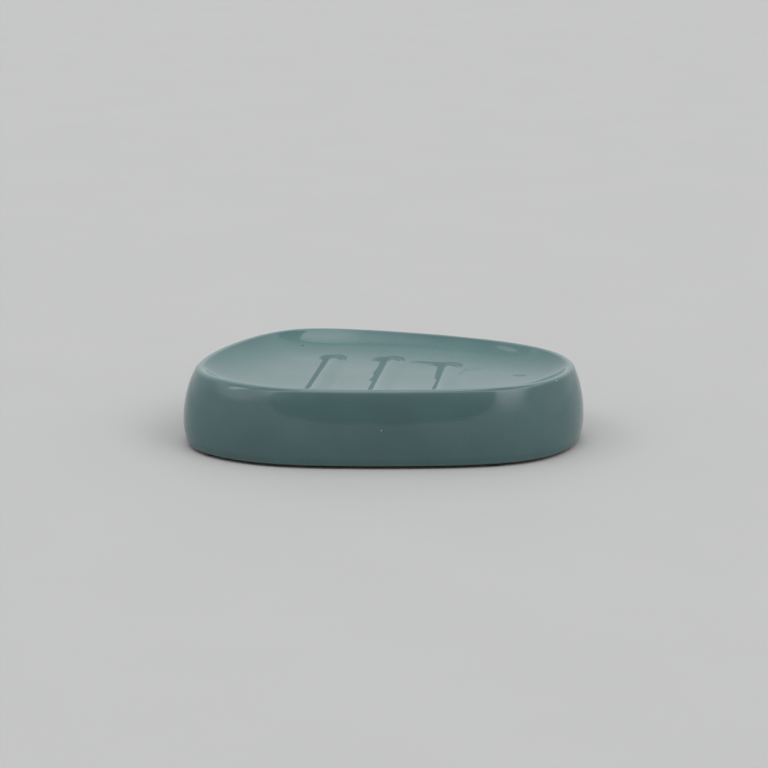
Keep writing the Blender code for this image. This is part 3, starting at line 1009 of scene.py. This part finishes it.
level = straight(axes["Y"], WALL_LEVEL, WALL_LEVEL_BACKWARD)
side = both(edge_mask(tree, front_x, *SIDE_START), edge_mask(tree, front_x, *SIDE_END))
side = both(side, edge_mask(tree, straight(front_x, front_z, SIDE_LEAN), *SIDE_FOOT))
side = both(side, edge_mask(tree, axes["Y"], *SIDE_BACK))
level = paint(level, side, SIDE_LEVEL)
lean = calculate(tree, "MULTIPLY", axes["Y"], ROOF_LEAN)
roof = edge_mask(tree, calculate(tree, "SUBTRACT", axes["Z"], lean), *ROOF_FOOT)
roof = both(roof, edge_mask(tree, front_z, *ROOF_FRONT_FOOT))
roof = both(roof, edge_mask(tree, roof_y, *ROOF_BACK))
toward_front = calculate(tree, "MINIMUM", calculate(tree, "MAXIMUM", roof_y, ROOF_BRIGHTEST), 0.0)
toward_front = both(toward_front, edge_mask(tree, roof_x, *ROOF_LEFT_FADE))
level = paint(level, roof, straight(toward_front, ROOF_LEVEL, ROOF_LEVEL_BACKWARD))
print("with its cloth the tent takes", len(tree.nodes), "nodes")

# %% [markdown]
# # The cards: strips, a softbox, a lamp and the opening
# Two bright strips make the gleam on the lip's crest. Overhead hangs a softbox in a dark frame, and it
# is mirrored in the bowl's far slope, with the dark frame all round it. A small lamp is left of it, and
# low in front is the dark opening that the camera looks through, mirrored in the wall. Together the
# sheets light a level surface with about 1, so colours come out as they are written.

# %% Hang the cards
STRIP_LEVEL = 3.6
FRAME_LEVEL = 0.42
FRAME_LEVEL_RIGHTWARD = -0.25
SOFTBOX_LEVEL = 2.5
SOFTBOX_FAR_LEVEL = 1.3
SOFTBOX_FAR_FADE = (0.10, 0.60)
SOFTBOX_LEFT_FADE = (-0.32, -0.14)
LAMP_LEVEL = 1.5
OPENING_LEVEL = 0.22
OPENING_TOP_LEVEL = 1.15
OPENING_TOP_FADE = (0.40, 1.15)
WHITE = (1.0, 1.0, 1.0, 1.0)

from_middle = calculate(tree, "ABSOLUTE", roof_x)
strips = card(from_middle, roof_y, middle=(0.92, -0.17), half=(0.20, 0.13), roundness=2.0, blur=0.5)
level = paint(level, strips, STRIP_LEVEL)
dark_frame = card(roof_x, roof_y, middle=(-0.10, 0.19), half=(0.64, 0.53), roundness=4.0, blur=0.25)
level = paint(level, dark_frame, straight(roof_x, FRAME_LEVEL, FRAME_LEVEL_RIGHTWARD))
softbox = card(roof_x, roof_y, middle=(-0.07, 0.16), half=(0.24, 0.45), roundness=3.0, blur=0.12)
softbox = both(softbox, edge_mask(tree, roof_x, *SOFTBOX_LEFT_FADE))
glow = paint(SOFTBOX_LEVEL, edge_mask(tree, roof_y, *SOFTBOX_FAR_FADE), SOFTBOX_FAR_LEVEL)
level = paint(level, softbox, glow)
lamp = card(roof_x, roof_y, middle=(-0.50, 0.30), half=(0.06, 0.13), roundness=2.0, blur=0.5)
level = paint(level, lamp, LAMP_LEVEL)
opening = card(front_x, front_z, middle=(0.11, 0.95), half=(0.78, 0.87), roundness=2.0, blur=0.08)
gloom = paint(OPENING_LEVEL, edge_mask(tree, front_z, *OPENING_TOP_FADE), OPENING_TOP_LEVEL)
level = paint(level, opening, gloom)
sky = add_node(tree, "ShaderNodeBackground", {"Color": WHITE, "Strength": level})
add_node(tree, "ShaderNodeOutputWorld", {"Surface": sky.outputs[0]})
print("the whole tent takes", len(tree.nodes), "nodes")

# %% [markdown]
# # The camera
# A long lens looks down on the dish from a little to the right of its front, from about as far away as
# someone who leans over a table. The aim is given along the picture's own right and upward directions.

# %% Set the camera
CAMERA_TURN = math.radians(7.723)
CAMERA_RISE = math.radians(14.25)
CAMERA_DISTANCE = 900.0 * MM
FOCAL_PIXELS = 2627.6
PHOTO_WIDTH = 768
SENSOR_WIDTH = 36.0
AIM_RIGHT = -1.03 * MM
AIM_UP = 4.03 * MM
AIM_HEIGHT = 13.0 * MM
away = np.array([math.sin(CAMERA_TURN) * math.cos(CAMERA_RISE),
                 -math.cos(CAMERA_TURN) * math.cos(CAMERA_RISE), math.sin(CAMERA_RISE)])
right = np.array([math.cos(CAMERA_TURN), math.sin(CAMERA_TURN), 0.0])
upward = np.cross(away, right)
aim = AIM_RIGHT * right + AIM_UP * upward + np.array([0.0, 0.0, AIM_HEIGHT])
select_none()
bpy.ops.object.camera_add(location=tuple(aim + CAMERA_DISTANCE * away),
                          rotation=(math.pi / 2 - CAMERA_RISE, 0.0, CAMERA_TURN))
camera = bpy.context.active_object
camera.data.sensor_width = SENSOR_WIDTH
camera.data.lens = FOCAL_PIXELS / PHOTO_WIDTH * SENSOR_WIDTH
camera.data.clip_start = 10 * MM
camera.data.clip_end = 4 * FLOOR_RADIUS
bpy.context.scene.camera = camera
bpy.context.scene.view_settings.view_transform = "Standard"
print("the lens is", round(camera.data.lens), "mm")
